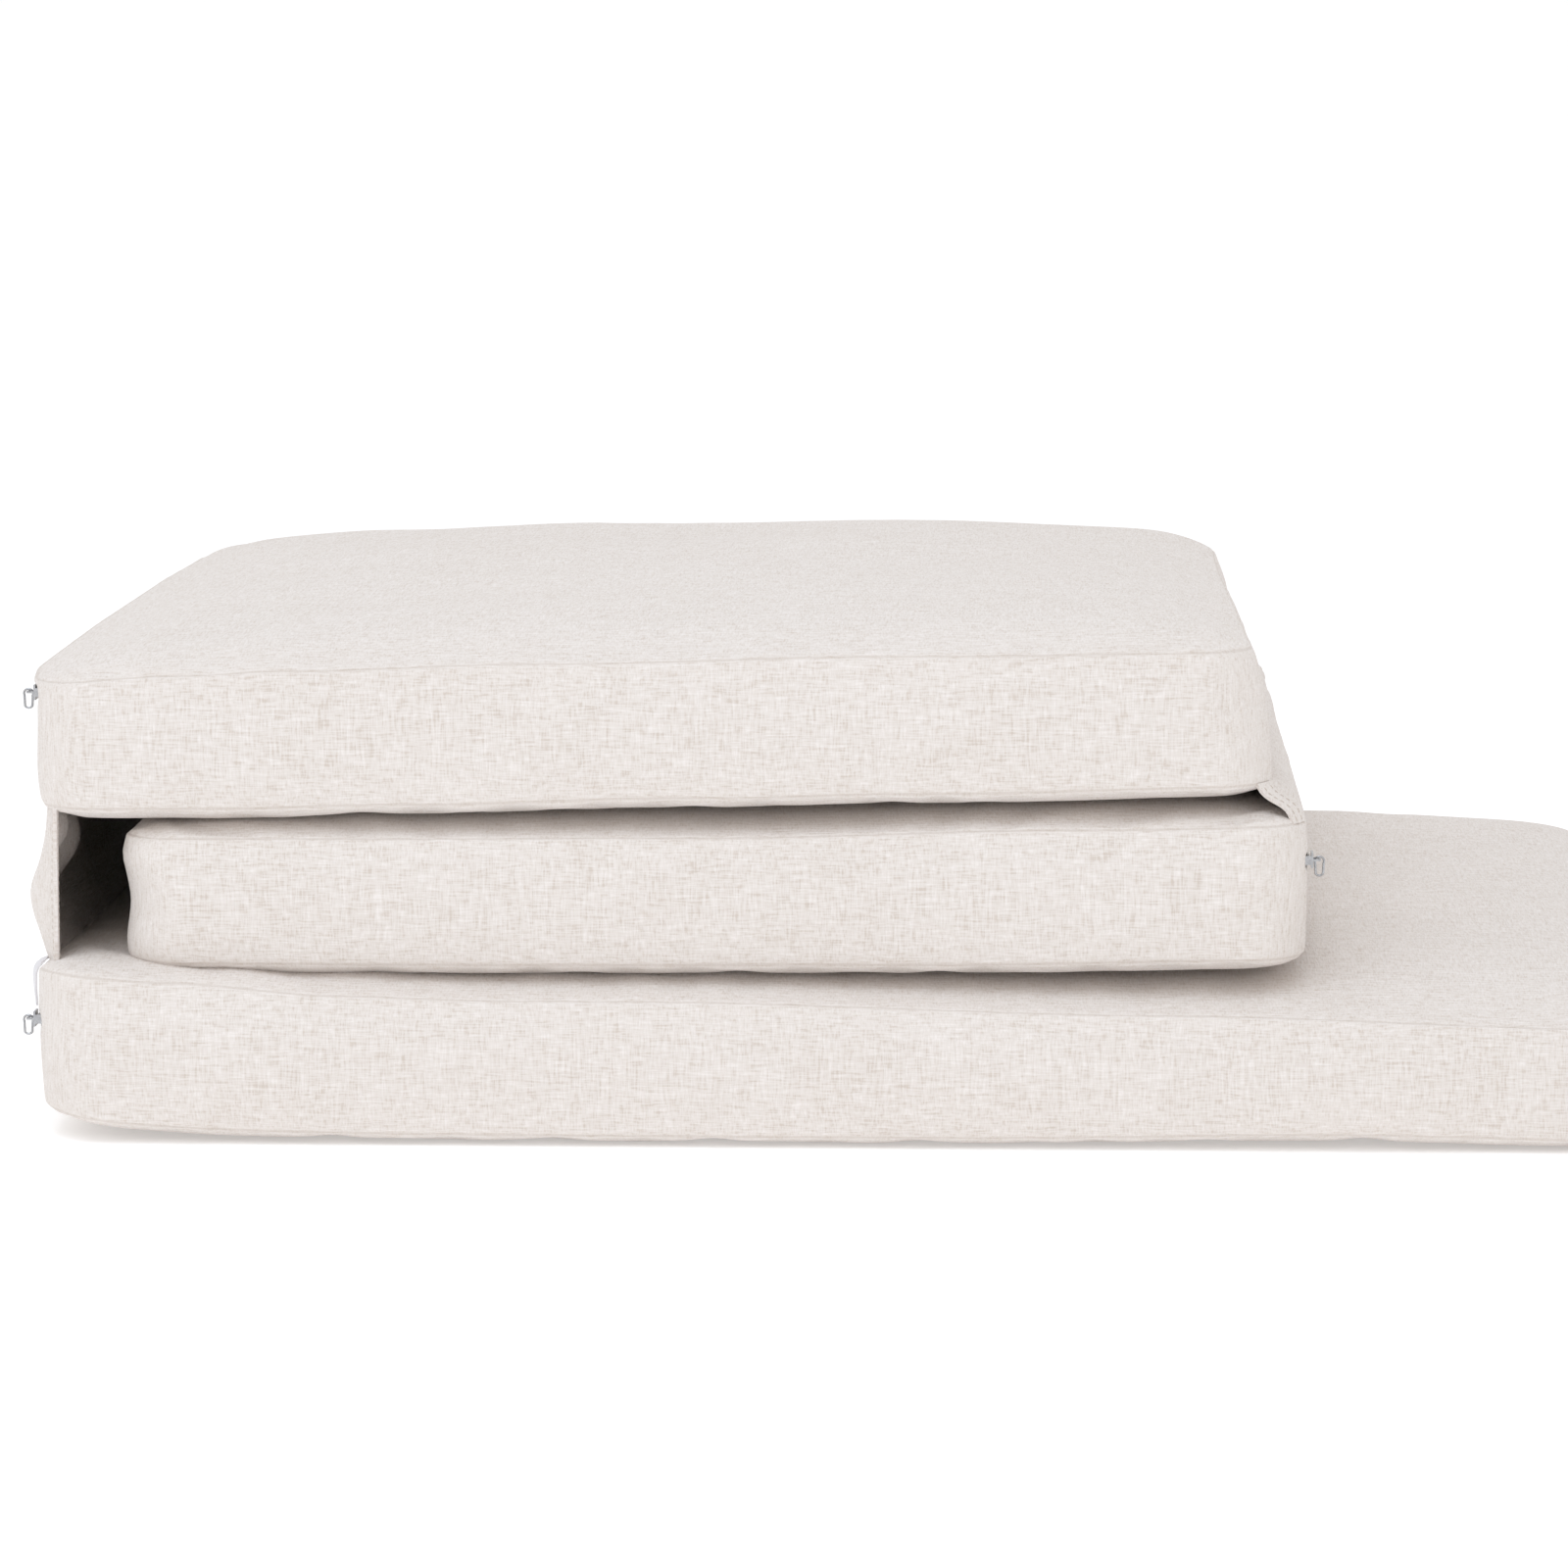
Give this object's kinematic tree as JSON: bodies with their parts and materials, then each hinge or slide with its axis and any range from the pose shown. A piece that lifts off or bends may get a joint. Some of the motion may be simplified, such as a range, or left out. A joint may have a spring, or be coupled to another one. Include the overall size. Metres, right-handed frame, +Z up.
{
  "type": "folding foam mattress",
  "caption": "Folding foam mattress in zipped linen-look covers, rolled up into a stack on its longest panel, with fabric hinges and end zips.",
  "frame": {"origin": "on the floor, at the middle of the folded stack's bounding box", "axes": "+X along the base panel from the folded end to the free end, +Y from the front edge to the back edge, +Z up"},
  "size_m": [0.8192, 0.696, 0.239],
  "materials": {
    "cover_cloth": "slub weave, matt, ecru",
    "webbing": "woven zip tape, ecru",
    "wadding": "bonded fibre, matt white",
    "foam": "open-cell foam, pale yellow",
    "nylon": "nylon coil, off-white",
    "metal": "nickel-plated, satin",
    "label_cloth": "blank woven tape, white"
  },
  "bodies": {
    "base": {"base_wadding_lower": "wadding", "base_wadding_upper": "wadding", "base_foam_core": "foam", "base_cover_lower": "cover_cloth", "base_cover_upper": "cover_cloth", "base_boxing_front": "cover_cloth", "base_boxing_back": "cover_cloth", "base_boxing_end": "cover_cloth", "base_zip_strip_lower": "cover_cloth", "base_zip_strip_upper": "cover_cloth", "base_zip_tape_lower": "webbing", "base_zip_tape_upper": "webbing", "base_zip_coil": "nylon", "care_label": "label_cloth"},
    "spine": {"spine_strip": "cover_cloth"},
    "folded_stack": {"middle_wadding_lower": "wadding", "middle_wadding_upper": "wadding", "middle_foam_core": "foam", "middle_cover_lower": "cover_cloth", "middle_cover_upper": "cover_cloth", "middle_boxing_front": "cover_cloth", "middle_boxing_back": "cover_cloth", "middle_boxing_end": "cover_cloth", "middle_zip_strip_lower": "cover_cloth", "middle_zip_strip_upper": "cover_cloth", "middle_zip_tape_lower": "webbing", "middle_zip_tape_upper": "webbing", "middle_zip_coil": "nylon", "top_wadding_lower": "wadding", "top_wadding_upper": "wadding", "top_foam_core": "foam", "top_cover_lower": "cover_cloth", "top_cover_upper": "cover_cloth", "top_boxing_front": "cover_cloth", "top_boxing_back": "cover_cloth", "top_boxing_end": "cover_cloth", "top_zip_strip_lower": "cover_cloth", "top_zip_strip_upper": "cover_cloth", "top_zip_tape_lower": "webbing", "top_zip_tape_upper": "webbing", "top_zip_coil": "nylon", "flap": "cover_cloth"},
    "base_zip_slider": {"base_zip_slider": "metal"},
    "base_zip_pull": {"base_zip_pull": "metal"},
    "middle_zip_slider": {"middle_zip_slider": "metal"},
    "middle_zip_pull": {"middle_zip_pull": "metal"},
    "top_zip_slider": {"top_zip_slider": "metal"},
    "top_zip_pull": {"top_zip_pull": "metal"}
  },
  "joints": [
    {"name": "top_panel_hinge", "type": "hinge", "parent": "spine", "child": "folded_stack", "pos_m": [-0.40237, 0, 0.16], "axis": [0, -1, 0], "range_deg": [0, 90]},
    {"name": "spine_hinge", "type": "hinge", "parent": "base", "child": "spine", "pos_m": [-0.40237, 0, 0.079], "axis": [0, -1, 0], "range_deg": [0, 90]},
    {"name": "base_zip_slide", "type": "slide", "parent": "base", "child": "base_zip_slider", "axis": [0, 1, 0], "range_m": [0, 0.6], "deforming": ["base_zip_coil"]},
    {"name": "base_pull_swing", "type": "hinge", "parent": "base_zip_slider", "child": "base_zip_pull", "pos_m": [-0.40682, -0.3144, 0.057], "axis": [0, 1, 0], "range_deg": [0, 150]},
    {"name": "middle_zip_slide", "type": "slide", "parent": "folded_stack", "child": "middle_zip_slider", "axis": [0, 1, 0], "range_m": [0, 0.6], "deforming": ["middle_zip_coil"]},
    {"name": "middle_pull_swing", "type": "hinge", "parent": "middle_zip_slider", "child": "middle_zip_pull", "pos_m": [0.22807, -0.2984, 0.137], "axis": [0, -1, 0], "range_deg": [0, 150]},
    {"name": "top_zip_slide", "type": "slide", "parent": "folded_stack", "child": "top_zip_slider", "axis": [0, 1, 0], "range_m": [0, 0.6], "deforming": ["top_zip_coil"]},
    {"name": "top_pull_swing", "type": "hinge", "parent": "top_zip_slider", "child": "top_zip_pull", "pos_m": [-0.40682, -0.2984, 0.217], "axis": [0, 1, 0], "range_deg": [0, 150]}
  ],
  "couplings": [
    {"joint": "spine_hinge", "follows": "top_panel_hinge", "ratio": 1}
  ]
}
